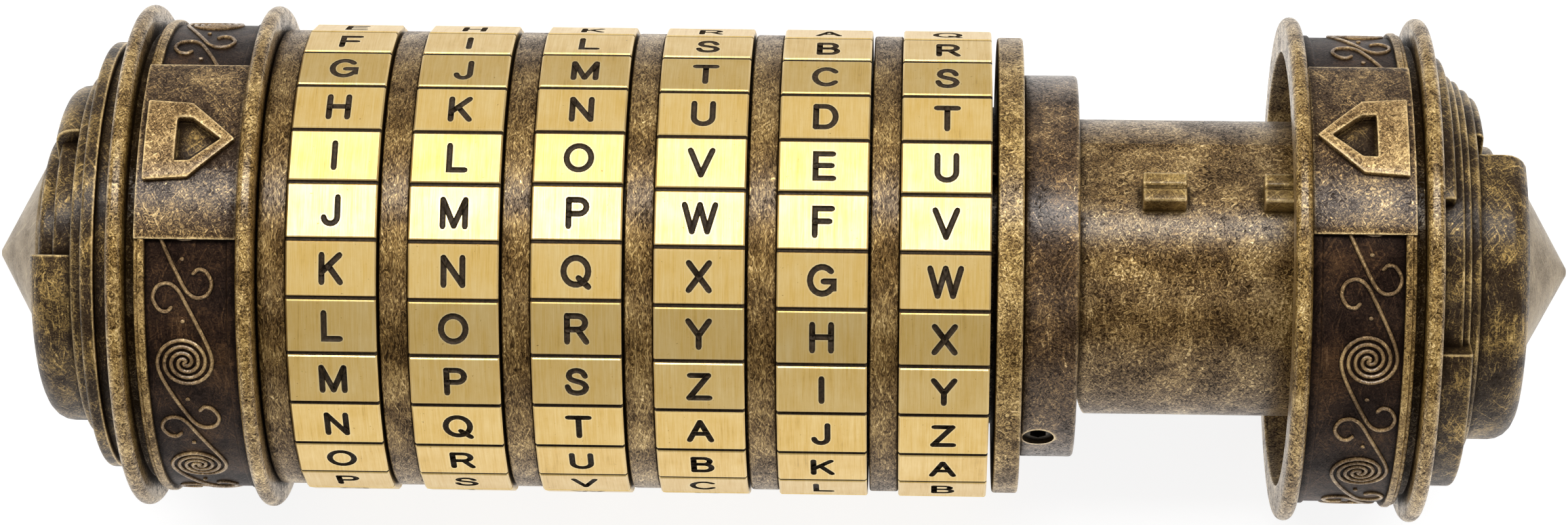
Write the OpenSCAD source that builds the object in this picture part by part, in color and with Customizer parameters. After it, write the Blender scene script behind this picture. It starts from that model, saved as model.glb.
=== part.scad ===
// Cryptex lying on the rims of its two end caps, drawn open.
// X runs along the axis from the fixed cap to the sliding cap, and +Z points from the axis
// to the reading line, where the arrows, the lugs, the slot and the dial notches line up.
// The origin is on the surface it lies on, under the middle of its open length.
// Angles round the axis are measured from the reading line towards -Y.

/* [Overall] */
// Half of the open length, from the middle to a finial's tip
half_length = 75; // [70:0.5:80]
// Radius of the rims that the object lies on
rim_r = 24; // [23.5:0.1:25]

/* [End caps] */
// Distance from the middle to the outer rim of each cap
outer_rim_x = 60.25; // [59.5:0.05:61]
// Distance from the middle to the inner rim of each cap
inner_rim_x = 48.3; // [48.3:0.05:48.6]
// Radius of the rounded edge of each rim
rim_edge_r = 0.8; // [0.6:0.05:0.9]
// Radius of the floor of the scroll band
band_r = 22.1; // [21.8:0.1:22.4]
// Radius inside each cap's wall
cap_bore_r = 20.7; // [20.2:0.1:20.8]
// Turn of the sliding cap's arrow away from the lugs
cap_twist = -4.5; // [-6:0.5:6]

/* [Dials] */
// Number of dials
dial_count = 6; // [2:1:6]
// Letters on each dial
letter_count = 26; // [20:1:30]
// Length of one dial along the axis
dial_pitch = 11.25; // [11.1:0.05:11.25]
// Width of the flange at the left of each dial
flange_w = 2.75; // [2:0.05:3]
// Radius of the flange
flange_r = 21.75; // [21.5:0.05:21.9]
// Distance from the axis to a letter's flat face
letter_face_r = 22.2; // [22:0.05:22.6]

/* [Collar] */
// Radius of the locking collar
collar_r = 18.2; // [17.8:0.1:18.6]
// Length of the locking collar
collar_len = 5.2; // [4.5:0.1:5.5]
// Thickness of the end disc
disc_w = 2.45; // [2:0.05:2.5]

/* [Chamber] */
// Outer radius of the chamber tube
tube_r = 14.05; // [13.9:0.05:14.1]
// Wall of the chamber tube
tube_wall = 1.6; // [1.2:0.1:2]
// Distance from the axis to the top of a lug
lug_top_r = 16.3; // [16:0.1:16.4]
// Width of a lug
lug_w = 3; // [2.5:0.1:3.2]
// Length of a lug along the axis
lug_len = 4.1; // [3.5:0.1:4.3]

/* [Hidden] */
$fn = 96;
letter_pitch = 360 / letter_count;
tip = 2;                                  // overshoot of cutting shapes

// Places along the axis
dials_x = -inner_rim_x + rim_edge_r + 0.1;          // left face of the first dial
dials_end = dials_x + dial_count * dial_pitch;      // right face of the last dial
disc_x = dials_end + 0.4;                           // left face of the end disc
collar_x = disc_x + disc_w;                         // left face of the collar
collar_end = collar_x + collar_len;
cap_floor_x = outer_rim_x - 3.25;                   // inner face of a cap's floor
cap_back_x = outer_rim_x + 0.75;                    // outer face of a cap's floor
socket_x = cap_floor_x + 2;                         // bottom of the socket in a cap's floor

// Guide sleeve and the chamber inside it
sleeve_r = 15.12;
sleeve_bore_r = tube_r + 0.07;
run_fit = 0.05;                                     // clearance of the dials on the sleeve
tube_bore_r = tube_r - tube_wall;
tube_x = -22.6;                                     // left end of the chamber tube
trough_end = collar_end;                            // where the trough meets the whole tube
trough_z = 1.35;                                    // height of the trough's edges over the axis
trough_run = 2.6;                                   // length of the sloped end of the trough
end_wall = 3.5;                                     // threaded wall at an end of sleeve and tube
lug_count = dial_count + 1;
first_lug_x = 45.25;                                // left face of the lug nearest the cap
slot_w = lug_w + 0.4;
key_r = lug_top_r + 0.5;                            // depth of keyways and notches
notch_w = lug_w + 2.6;                              // notches are wide, so dials open with slack
free_zone = 7.8;                                    // part of a dial where its lug can stand

// Dial parts
hub_r = 19.5;
letter_x = flange_w + 0.02;
letter_w = dial_pitch - flange_w - 0.12;
groove_w = 0.42;
groove_depth = 0.35;
rest_turns = [2.6, 2.9, 2.5, 3.4, 3.9, 4.0];         // each dial stops a little past its line
facet_half = letter_face_r * tan(letter_pitch / 2); // half of a facet's full width

// Scroll band and its arrow plate
band_seat_r = 21.3;
band_left = 48.3 + rim_edge_r;
band_right = outer_rim_x - rim_edge_r - 0.15;
border_w = 1;
plate_angle = 48;
plate_r = band_r + 0.5;
arrow_r = plate_r + 0.6;
arrow_len = 8.1;
arrow_w = 8;

// Screws and studs
stud_r = 2;
grub_r = 1.5;
grub_len = 2.6;
grub_x = collar_x + 1.75;
grub_turns = [90, 270];                             // angles of the two grub screws
cone_slope = 1.85;                                  // radius gained per mm from a finial's tip
cone_base_r = 9;
cone_foot = 0.6;                                    // straight foot under the cone
cone_x = half_length - cone_foot - cone_base_r / cone_slope;

// Steps of the end rosettes: outer radius, height over the outer rim, width of the rounded
// edge, angle at which the step starts, and its sweep
fixed_steps = [
    [20.4, 3.7, 0.5, 0, 360],
    [17.3, 5.2, 0.4, 0, 360],
    [14.6, 7.3, 0.5, 0, 360],
    [11.4, 9.4, 0.9, 0, 360],
    [16.2, 7.8, 1.9, 222, 120],
    [16.0, 9.4, 2.2, 28, 150],
];
sliding_steps = [
    [18.4, 3.6, 0.4, 0, 360],
    [20.5, 3.9, 0.7, 54, 110],
    [20.4, 2.2, 0.4, 255, 118],
    [17.3, 4.8, 0.5, 0, 360],
    [16.6, 5.6, 0.7, 220, 122],
    [11.9, 7.4, 0.8, 0, 360],
    [10.6, 9.4, 0.5, 0, 360],
    [16.0, 9.6, 2.2, 349, 150],
];

CASE_NODES = ["fixed_cap", "fixed_band", "fixed_rosette", "fixed_finial", "guide_sleeve",
              "end_disc", "locking_collar", "grub_screws"];
CHAMBER_NODES = ["sliding_cap", "sliding_band", "sliding_rosette", "sliding_finial",
                 "chamber_tube"];
CODE_NODES = [for (i = [1:dial_count]) str("code_ring_", i)];
LETTER_NODES = [for (i = [1:dial_count]) str("letter_ring_", i)];

bronze = [0.42, 0.33, 0.20];
dark_bronze = [0.25, 0.20, 0.15];
gold_bronze = [0.62, 0.48, 0.26];
letter_brass = [0.78, 0.66, 0.38];
steel = [0.20, 0.20, 0.20];

// Turns a shape drawn round Z so that it lies on the object's axis, with Z along +X
module on_axis() {
    translate([0, 0, rim_r]) rotate([90, 0, 90]) children();
}

// The same for the fixed end, with Z along -X and the angles kept
module on_fixed_end() {
    mirror([1, 0, 0]) on_axis() children();
}

// Solid ring between two places along the axis
module ring(outer, inner, from, to) {
    translate([0, 0, from]) difference() {
        cylinder(r = outer, h = to - from);
        translate([0, 0, -tip]) cylinder(r = inner, h = to - from + 2 * tip);
    }
}

// Block on the reading line, turned by an angle: a key, a slot or a notch
module key_block(width, from, to, low_r, high_r, turn = 0) {
    rotate([0, 0, turn]) translate([-width / 2, low_r, from])
        cube([width, high_r - low_r, to - from]);
}

// Rounded rim round a cap
module rim(x) {
    translate([0, 0, x]) rotate_extrude() {
        translate([rim_r - rim_edge_r, 0]) circle(r = rim_edge_r);
        translate([band_seat_r - 1, -rim_edge_r])
            square([rim_r - rim_edge_r - band_seat_r + 1, 2 * rim_edge_r]);
    }
}

// Cup of an end cap, with its mouth towards the middle of the object
module cap_shell(socket_r) {
    difference() {
        union() {
            ring(band_seat_r, cap_bore_r, 48.3 - rim_edge_r, cap_floor_x + 0.5);
            translate([0, 0, cap_floor_x]) cylinder(r = band_seat_r, h = cap_back_x - cap_floor_x);
            rim(48.3);
            rim(outer_rim_x);
        }
        cylinder(r = cap_bore_r, h = cap_floor_x);
        cylinder(r = socket_r + 0.02, h = socket_x);
        cylinder(r = stud_r + 0.1, h = cap_back_x + tip);
    }
}

// Prism that keeps the part of a shape between two angles
module wedge(start, sweep, from, to) {
    reach = 3 * rim_r;
    translate([0, 0, from]) linear_extrude(to - from)
        polygon([[0, 0], for (part = [0:2]) let (turn = 90 + start + sweep * part / 2)
                 [reach * cos(turn), reach * sin(turn)]]);
}

// Plate of the band, centred on the reading line
module plate() {
    intersection() {
        ring(plate_r, band_r - 0.3, band_left + 0.05, band_right - 0.05);
        wedge(-plate_angle / 2, plate_angle, band_left - tip, band_right + tip);
    }
}

// Outline of the arrow, with its tip at the origin and its base along +X
module arrow_outline() {
    shoulder = arrow_len * 0.62;
    polygon([[0, 0], [shoulder, arrow_w * 0.46], [arrow_len, arrow_w / 2],
             [arrow_len, -arrow_w / 2], [shoulder, -arrow_w * 0.46]]);
}

// Opening in the middle of the arrow
module arrow_window() {
    polygon([[1.6, 0], [3.9, 1.9], [5.4, 2.2], [5.4, -2.2], [3.9, -1.9]]);
}

// Raised arrow that points to the dials
module arrow() {
    intersection() {
        ring(arrow_r, plate_r - 0.3, band_left, band_right);
        translate([0, band_r - 2, band_left + 0.1]) rotate([-90, -90, 0])
            linear_extrude(arrow_r - band_r + 4) difference() {
                arrow_outline();
                arrow_window();
            }
    }
}

// Ring let in between a cap's rims, with borders, the arrow's plate and the arrow
module scroll_band() {
    ring(band_r, band_seat_r, band_left, band_right);
    ring(band_r + 0.4, band_r - 0.3, band_right - border_w, band_right - 0.1);
    ring(band_r + 0.2, band_r - 0.3, band_left + 0.1, band_left + border_w / 2);
    plate();
    arrow();
}

// One step of a rosette: a sector of a disc with a bevelled edge
module rosette_step(step) {
    top_x = outer_rim_x + step[1];
    edge = step[2];
    intersection() {
        rotate_extrude()
            polygon([[0, cap_back_x], [step[0], cap_back_x], [step[0], top_x - edge],
                     [step[0] - edge * 0.3, top_x - edge * 0.3], [step[0] - edge, top_x],
                     [0, top_x]]);
        if (step[4] < 360) wedge(step[3], step[4], cap_back_x - tip, half_length + tip);
    }
}

// Stepped medallion on the outside of a cap, with a seat for the finial's base
module rosette(steps) {
    difference() {
        union() {
            for (step = steps) rosette_step(step);
        }
        translate([0, 0, cone_x]) cylinder(r = cone_base_r + 0.03, h = half_length);
        cylinder(r = stud_r + 0.1, h = half_length);
    }
}

// Low cone with the stud that holds the rosette, the cap and the tube behind it together
module finial() {
    stud_from = socket_x - end_wall + 0.5;
    translate([0, 0, cone_x]) cylinder(r = cone_base_r, h = cone_foot);
    translate([0, 0, cone_x + cone_foot])
        cylinder(r1 = cone_base_r, r2 = 0.3, h = half_length - cone_x - cone_foot);
    translate([0, 0, stud_from]) cylinder(r = stud_r - 0.02, h = cone_x + 0.3 - stud_from);
}

// Slotted sleeve that the dials turn on
module sleeve() {
    wall_from = -socket_x;
    difference() {
        translate([0, 0, wall_from]) cylinder(r = sleeve_r, h = collar_end - wall_from);
        translate([0, 0, wall_from + end_wall])
            cylinder(r = sleeve_bore_r, h = collar_end - wall_from);
        translate([0, 0, wall_from - tip]) cylinder(r = stud_r, h = end_wall + 2 * tip);
        key_block(slot_w, dials_x + 0.3, collar_end + tip, sleeve_bore_r - 1, sleeve_r + 1);
    }
}

// Dial body: flange, hub, free zone for the lug and notched web
module dial_body(index) {
    left = dials_x + (index - 1) * dial_pitch;
    right = left + dial_pitch - 0.1;
    rotate([0, 0, rest_turns[index - 1]]) difference() {
        union() {
            ring(flange_r, sleeve_r + run_fit, left, left + flange_w);
            ring(hub_r, sleeve_r + run_fit, left, right);
        }
        translate([0, 0, left - tip]) cylinder(r = key_r, h = free_zone + tip);
        key_block(notch_w, left + 1, right + tip, sleeve_r - 1, key_r);
    }
}

// Outline of a letter ring: flat facets with a groove at each corner
function facet_points(turn) = [
    for (side = [-1, 1], level = side < 0 ? [0, 1] : [1, 0])
        let (reach = letter_face_r - (1 - level) * groove_depth)
        let (across = side * (facet_half - groove_w / 2))
        [across * cos(turn) - reach * sin(turn), across * sin(turn) + reach * cos(turn)]
];

// Ring of letter facets round a dial's hub
module letter_facets(index) {
    left = dials_x + (index - 1) * dial_pitch + letter_x;
    rotate([0, 0, rest_turns[index - 1]]) translate([0, 0, left]) difference() {
        linear_extrude(letter_w)
            polygon([for (i = [0:letter_count - 1]) each facet_points(-i * letter_pitch)]);
        translate([0, 0, -tip]) cylinder(r = hub_r + 0.02, h = letter_w + 2 * tip);
    }
}

// Ring fixed on the end of the sleeve, with a keyway for the lugs
module keyed_ring(outer, from, to) {
    difference() {
        ring(outer, sleeve_r + 0.01, from, to);
        key_block(slot_w, from - tip, to + tip, sleeve_r - 1, key_r);
    }
}

// Places something at each grub screw, pointing away from the axis
module at_grub_screws() {
    for (turn = grub_turns)
        rotate([0, 0, turn]) translate([0, 0, grub_x]) rotate([-90, 0, 0]) children();
}

// Tube of the chamber: whole near its cap, cut down to a trough inside the case
module chamber() {
    wall_from = socket_x - end_wall;
    difference() {
        union() {
            translate([0, 0, tube_x]) cylinder(r = tube_r, h = socket_x - tube_x);
            for (i = [0:lug_count - 1]) lug(first_lug_x - i * dial_pitch);
        }
        translate([0, 0, tube_x + tube_wall])
            cylinder(r = tube_bore_r, h = wall_from - tube_x - tube_wall);
        translate([0, 0, wall_from - tip]) cylinder(r = stud_r, h = end_wall + 2 * tip);
        trough_cut();
    }
}

// Lug that passes the dials' notches
module lug(x) {
    key_block(lug_w, x, x + lug_len, tube_r - 0.8, lug_top_r);
}

// Everything under the trough's edges, with the sloped end
module trough_cut() {
    drop = tube_r + trough_z + 1;
    translate([tube_r + 1, trough_z, 0]) rotate([0, -90, 0])
        linear_extrude(2 * tube_r + 2)
            polygon([[tube_x - tip, 0], [trough_end, 0], [trough_end + trough_run, -drop],
                     [tube_x - tip, -drop]]);
}

// Nodes
module fixed_cap() {
    color(bronze) on_fixed_end() cap_shell(sleeve_r);
}

module fixed_band() {
    color(dark_bronze) on_fixed_end() scroll_band();
}

module fixed_rosette() {
    color(bronze) on_fixed_end() rosette(fixed_steps);
}

module fixed_finial() {
    color(gold_bronze) on_fixed_end() finial();
}

module guide_sleeve() {
    color(bronze) on_axis() sleeve();
}

module end_disc() {
    color(bronze) on_axis() keyed_ring(flange_r, disc_x, collar_x);
}

module locking_collar() {
    color(bronze) on_axis() difference() {
        keyed_ring(collar_r, collar_x, collar_end);
        at_grub_screws() cylinder(r = grub_r, h = collar_r + tip);
    }
}

module grub_screws() {
    color(steel) on_axis() at_grub_screws() translate([0, 0, sleeve_r + 0.05]) difference() {
        cylinder(r = grub_r - 0.02, h = grub_len);
        translate([0, 0, 1.2]) cylinder(r = 0.85, h = grub_len, $fn = 6);
    }
}

module sliding_cap() {
    color(bronze) on_axis() cap_shell(tube_r);
}

module sliding_band() {
    color(dark_bronze) on_axis() rotate([0, 0, cap_twist]) scroll_band();
}

module sliding_rosette() {
    color(bronze) on_axis() rosette(sliding_steps);
}

module sliding_finial() {
    color(gold_bronze) on_axis() finial();
}

module chamber_tube() {
    color(bronze) on_axis() chamber();
}

module code_ring(index) {
    color(bronze) on_axis() dial_body(index);
}

module letter_ring(index) {
    color(letter_brass) on_axis() letter_facets(index);
}

fixed_cap();
fixed_band();
fixed_rosette();
fixed_finial();
guide_sleeve();
end_disc();
locking_collar();
grub_screws();
sliding_cap();
sliding_band();
sliding_rosette();
sliding_finial();
chamber_tube();
for (i = [1:dial_count]) {
    code_ring(i);
    letter_ring(i);
}
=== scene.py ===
"""Looks of the cryptex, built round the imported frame. Lengths are in millimetres and angles in
degrees until a mesh is made, which turns them into metres."""

import math

import bmesh
import bpy
import numpy as np
from mathutils import Matrix, Vector


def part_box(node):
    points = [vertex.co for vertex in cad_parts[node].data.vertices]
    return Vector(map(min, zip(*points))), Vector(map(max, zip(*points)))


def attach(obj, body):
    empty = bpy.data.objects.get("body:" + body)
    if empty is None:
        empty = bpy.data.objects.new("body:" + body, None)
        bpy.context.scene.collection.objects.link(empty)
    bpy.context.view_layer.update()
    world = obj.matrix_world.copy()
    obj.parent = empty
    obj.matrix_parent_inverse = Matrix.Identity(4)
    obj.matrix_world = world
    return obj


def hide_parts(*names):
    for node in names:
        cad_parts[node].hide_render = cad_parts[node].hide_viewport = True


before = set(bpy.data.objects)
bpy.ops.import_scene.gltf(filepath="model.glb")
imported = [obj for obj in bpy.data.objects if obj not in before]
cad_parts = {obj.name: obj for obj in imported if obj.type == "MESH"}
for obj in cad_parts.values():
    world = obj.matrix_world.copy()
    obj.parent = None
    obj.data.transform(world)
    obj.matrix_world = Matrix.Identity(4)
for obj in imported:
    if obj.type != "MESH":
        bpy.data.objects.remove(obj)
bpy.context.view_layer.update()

MM = 0.001

# ---------------------------------------------------------------- sizes from the frame


def node_box(name):
    """Lowest and highest corner of a CAD node, in millimetres."""
    low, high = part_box(name)
    return np.array(low) / MM, np.array(high) / MM


DIALS = sorted(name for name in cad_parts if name.startswith("letter_ring_"))
cap_low, cap_high = node_box("fixed_cap")
AXIS_Z = (cap_low[2] + cap_high[2]) / 2
RIM_R = (cap_high[2] - cap_low[2]) / 2
MOUTH = -cap_high[0]                       # distance of a cap's mouth from the middle
BACK = -cap_low[0]                         # distance of a cap's back rim face
RIM_EDGE = 0.8                             # half of a rim's width
OUTER_RIM = BACK - RIM_EDGE
TIP = -node_box("fixed_finial")[0][0]      # distance of a finial's tip
FLANGE_R = (node_box("code_ring_1")[1][1] - node_box("code_ring_1")[0][1]) / 2
TUBE_LEFT, TUBE_RIGHT = node_box("chamber_tube")[0][0], node_box("chamber_tube")[1][0]
TUBE_R = (node_box("chamber_tube")[1][1] - node_box("chamber_tube")[0][1]) / 2
LUG_TOP_R = node_box("chamber_tube")[1][2] - AXIS_Z
COLLAR_LEFT, COLLAR_RIGHT = node_box("locking_collar")[0][0], node_box("locking_collar")[1][0]
COLLAR_R = (node_box("locking_collar")[1][1] - node_box("locking_collar")[0][1]) / 2
DISC_LEFT = node_box("end_disc")[0][0]
DIAL_PITCH = node_box("letter_ring_2")[0][0] - node_box("letter_ring_1")[0][0]
SLEEVE_R = (node_box("guide_sleeve")[1][1] - node_box("guide_sleeve")[0][1]) / 2
LETTER_COUNT = 26
CAP_TWIST = -4.5                           # the sliding cap is a little turned on its tube
LETTER_PITCH = 360 / LETTER_COUNT

# ---------------------------------------------------------------- mesh making


def around(x, r, turn):
    """Point at a distance r from the axis, turned from the reading line towards the reader."""
    angle = math.radians(turn)
    return (x, -r * math.sin(angle), AXIS_Z + r * math.cos(angle))


def rounded(outline, radius, steps=4):
    """Closed outline with its corners rounded. Each point is (x, r) or (x, r, own radius)."""
    points = []
    count = len(outline)
    for i, corner in enumerate(outline):
        here = np.array(corner[:2], float)
        back = np.array(outline[i - 1][:2], float) - here
        on = np.array(outline[(i + 1) % count][:2], float) - here
        size = corner[2] if len(corner) > 2 else radius
        back_len, on_len = np.linalg.norm(back), np.linalg.norm(on)
        back, on = back / back_len, on / on_len
        half = math.acos(max(-1.0, min(1.0, float(back @ on)))) / 2
        reach = size / math.tan(half)
        reach = min(reach, back_len * 0.48, on_len * 0.48)
        if size <= 0 or half > math.radians(88):
            points.append(tuple(here))
            continue
        size = reach * math.tan(half)
        middle = here + (back + on) / np.linalg.norm(back + on) * (size / math.sin(half))
        start = here + back * reach - middle
        end = here + on * reach - middle
        sweep = math.atan2(start[0] * end[1] - start[1] * end[0], float(start @ end))
        for k in range(steps + 1):
            t = sweep * k / steps
            turned = (start[0] * math.cos(t) - start[1] * math.sin(t),
                      start[0] * math.sin(t) + start[1] * math.cos(t))
            points.append((middle[0] + turned[0], middle[1] + turned[1]))
    return points


def lathe(outline, start=0, sweep=360, step=2.5):
    """Solid made by turning a closed (x, r) outline round the axis: (vertices, faces)."""
    stations = max(3, round(sweep / step))
    whole = sweep >= 360
    count = len(outline)
    vertices = [around(x, r, start + sweep * i / stations)
                for i in range(stations if whole else stations + 1) for x, r in outline]
    faces = []
    for i in range(stations):
        here, on = i * count, ((i + 1) % stations if whole else i + 1) * count
        for j in range(count):
            k = (j + 1) % count
            faces.append((here + j, here + k, on + k, on + j))
    if not whole:
        faces.append(tuple(range(count)))
        faces.append(tuple(reversed(range(stations * count, (stations + 1) * count))))
    return vertices, faces


def sweep_stroke(path, half_width, low, high, closed=False):
    """Rounded bar along a flat path of (x, s) points, between two heights: (vertices, faces) in
    flat (x, s, height) space. Its section is a rounded arch or trough, and its ends are round."""
    section = [(math.cos(t), math.sin(t)) for t in np.linspace(0, 2 * math.pi, 9)[:-1] + math.pi / 8]
    path = [np.array(p, float) for p in path]
    rings = []
    last = len(path) - 1
    middle, tall = (low + high) / 2, (high - low) / 2
    for i, here in enumerate(path):
        if closed:
            before, after = path[i - 1], path[(i + 1) % len(path)]
        else:
            before, after = path[max(i - 1, 0)], path[min(i + 1, last)]
        a = here - before if i or closed else after - here
        b = after - here if i < last or closed else here - before
        a, b = a / np.linalg.norm(a), b / np.linalg.norm(b)
        along = (a + b) / max(np.linalg.norm(a + b), 1e-6)
        side = np.array((-along[1], along[0]))
        stretch = min(1 / max(float(along @ b), 0.35), 2.2)
        if not closed and i == 0:
            for back, narrow in ((0.95, 0.3), (0.7, 0.72)):
                rings.append((here - along * half_width * back, side * narrow, narrow))
        rings.append((here, side * stretch, 1))
        if not closed and i == last:
            for on, narrow in ((0.7, 0.72), (0.95, 0.3)):
                rings.append((here + along * half_width * on, side * narrow, narrow))
    vertices = []
    for centre, side, tallness in rings:
        for u, v in section:
            place = centre + side * (u * half_width)
            vertices.append((place[0], place[1], middle + v * tall * (0.5 + 0.5 * tallness)))
    faces = []
    n = len(section)
    total = len(rings)
    for i in range(total if closed else total - 1):
        j = (i + 1) % total
        for k in range(n):
            m = (k + 1) % n
            faces.append((i * n + k, i * n + m, j * n + m, j * n + k))
    if not closed:
        faces.append(tuple(reversed(range(n))))
        faces.append(tuple(range((total - 1) * n, total * n)))
    return vertices, faces


def wrapped(part, radius, turn):
    """Flat (x, s, height) geometry laid round the axis."""
    vertices, faces = part
    return [around(x, radius + h, turn + math.degrees(s / radius)) for x, s, h in vertices], faces


def joined(parts):
    """Several (vertices, faces) as one."""
    vertices, faces = [], []
    for more_vertices, more_faces in parts:
        start = len(vertices)
        vertices += list(more_vertices)
        faces += [tuple(start + i for i in face) for face in more_faces]
    return vertices, faces


def mirrored(part, side):
    """The same shape at the fixed end when side is -1."""
    vertices, faces = part
    return [(side * x, y, z) for x, y, z in vertices], faces


def make_mesh(name, groups, smooth=35):
    """Object from a list of ((vertices, faces), material), each group with its own material."""
    mesh = bpy.data.meshes.new(name)
    work = bmesh.new()
    for index, ((vertices, faces), material) in enumerate(groups):
        made = [work.verts.new(Vector(v) * MM) for v in vertices]
        for face in faces:
            if len(set(face)) > 2:
                work.faces.new([made[i] for i in face]).material_index = index
        mesh.materials.append(material)
    bmesh.ops.remove_doubles(work, verts=work.verts, dist=1e-7)
    bmesh.ops.dissolve_degenerate(work, edges=work.edges, dist=1e-7)
    bmesh.ops.recalc_face_normals(work, faces=work.faces)
    for face in work.faces:
        face.smooth = True
    work.to_mesh(mesh)
    work.free()
    mesh.set_sharp_from_angle(angle=math.radians(smooth))
    obj = bpy.data.objects.new(name, mesh)
    bpy.context.collection.objects.link(obj)
    return obj


def use_modifier(obj, kind, **values):
    """Adds a modifier and applies it."""
    modifier = obj.modifiers.new(kind.lower(), kind)
    for key, value in values.items():
        setattr(modifier, key, value)
    bpy.context.view_layer.update()
    ready = obj.evaluated_get(bpy.context.evaluated_depsgraph_get())
    mesh = bpy.data.meshes.new_from_object(ready)
    obj.modifiers.clear()
    old = obj.data
    obj.data = mesh
    bpy.data.meshes.remove(old)
    return obj


def carve(obj, cutter, smooth=35):
    """Takes the cutter's shape out of obj; the cut takes the cutter's material."""
    use_modifier(obj, "BOOLEAN", object=cutter, operation="DIFFERENCE", solver="EXACT",
                 use_self=True, material_mode="TRANSFER")
    bpy.data.objects.remove(cutter)
    for face in obj.data.polygons:
        face.use_smooth = True
    obj.data.set_sharp_from_angle(angle=math.radians(smooth))
    return obj


def soften(obj, width, smooth=35):
    """Rounds the sharp edges."""
    use_modifier(obj, "BEVEL", width=width * MM, segments=3, limit_method="ANGLE",
                 angle_limit=math.radians(40), harden_normals=False)
    for face in obj.data.polygons:
        face.use_smooth = True
    obj.data.set_sharp_from_angle(angle=math.radians(smooth))
    return obj


def block(low, high):
    """Box between two (x, across, r) corners over the axis."""
    vertices = [(x, -across, AXIS_Z + r) for x in (low[0], high[0])
                for across in (low[1], high[1]) for r in (low[2], high[2])]
    faces = [(0, 1, 3, 2), (4, 6, 7, 5), (0, 4, 5, 1), (2, 3, 7, 6), (0, 2, 6, 4), (1, 5, 7, 3)]
    return vertices, faces


def stand_for(piece, body, slot, *nodes):
    """The piece rides on its body and hides the CAD nodes. slot is not used."""
    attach(piece, body)
    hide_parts(*nodes)


# ---------------------------------------------------------------- materials


class Nodes:
    """Short way to build a material's node tree, with lengths in millimetres."""

    def __init__(self, name):
        self.material = bpy.data.materials.new(name)
        self.material.use_nodes = True
        self.tree = self.material.node_tree
        self.shader = self.tree.nodes["Principled BSDF"]
        place = self.add("ShaderNodeTexCoord")
        self.place = place.outputs["Object"]

    def add(self, kind, inputs=None, **settings):
        made = self.tree.nodes.new(kind)
        for key, value in settings.items():
            setattr(made, key, value)
        for key, value in (inputs or {}).items():
            self.feed(made.inputs[key], value)
        return made

    def feed(self, socket, value):
        if isinstance(value, bpy.types.NodeSocket):
            self.tree.links.new(value, socket)
        else:
            socket.default_value = value

    def noise(self, size, detail=4, rough=0.6, stretch=(1, 1, 1), turn=0, swirl=0.0):
        """Noise round 0.5 whose spots are about size millimetres across. The spots are drawn out
        along an axis whose stretch is below 1."""
        scale = [size * MM / s for s in stretch]
        spin = (math.radians(turn), math.radians(turn * 0.7), math.radians(turn))
        place = self.add("ShaderNodeMapping", {"Vector": self.place, "Scale": scale,
                                               "Rotation": spin}, vector_type="TEXTURE")
        made = self.add("ShaderNodeTexNoise", {"Vector": place.outputs["Vector"], "Scale": 1.0,
                                               "Detail": detail, "Roughness": rough,
                                               "Distortion": swirl})
        return made.outputs["Fac"]

    def math(self, operation, a, b=0.0):
        made = self.add("ShaderNodeMath", operation=operation)
        self.feed(made.inputs[0], a)
        self.feed(made.inputs[1], b)
        return made.outputs[0]

    def span(self, value, low, high, new_low=0.0, new_high=1.0):
        """Carries low to high over to new_low to new_high, and stays inside them."""
        made = self.add("ShaderNodeMapRange", {"Value": value, "From Min": low, "From Max": high,
                                               "To Min": new_low, "To Max": new_high})
        return made.outputs["Result"]

    def total(self, *terms):
        """Sum of (value, weight) pairs."""
        result = None
        for value, weight in terms:
            part = self.math("MULTIPLY", value, weight)
            result = part if result is None else self.math("ADD", result, part)
        return result

    def colours(self, value, *stops):
        """Colour from (place, (r, g, b)) stops."""
        made = self.add("ShaderNodeValToRGB", {"Fac": value})
        ramp = made.color_ramp
        while len(ramp.elements) < len(stops):
            ramp.elements.new(0.5)
        for element, (place, colour) in zip(ramp.elements, stops):
            element.position = place
            element.color = (*colour, 1)
        return made.outputs["Color"]

    def edges(self, width):
        """Near 1 along outer edges, 0 on flat faces."""
        made = self.add("ShaderNodeAmbientOcclusion", {"Distance": width * MM}, inside=True,
                        only_local=True, samples=6)
        return self.span(made.outputs["AO"], 0.95, 0.6)

    def hollow_grime_and_shade(self, depth):
        """Near 1 in grooves, corners and next to other parts, 0 in the open.
        Where it darkens a colour, that is grime and painted shade.
        """
        made = self.add("ShaderNodeAmbientOcclusion", {"Distance": depth * MM}, samples=6)
        return self.span(made.outputs["AO"], 0.85, 0.35)

    def scratches(self, size, turn, length=25):
        """Fine lines in one direction, near 1 on a line."""
        return self.span(self.noise(size, 2, 0.5, (1, 1 / length, 1 / length), turn), 0.6, 0.68)

    def relief(self, value, height):
        made = self.add("ShaderNodeBump", {"Height": value, "Distance": height * MM,
                                           "Strength": 1.0})
        self.feed(self.shader.inputs["Normal"], made.outputs["Normal"])

    def finish(self, metallic, coat=0.0, coat_rough=0.3):
        """Metal share and a coat of clear lacquer."""
        self.shader.inputs["Metallic"].default_value = metallic
        self.feed(self.shader.inputs["Coat Weight"], coat)
        self.shader.inputs["Coat Roughness"].default_value = coat_rough
        return self.material


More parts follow.
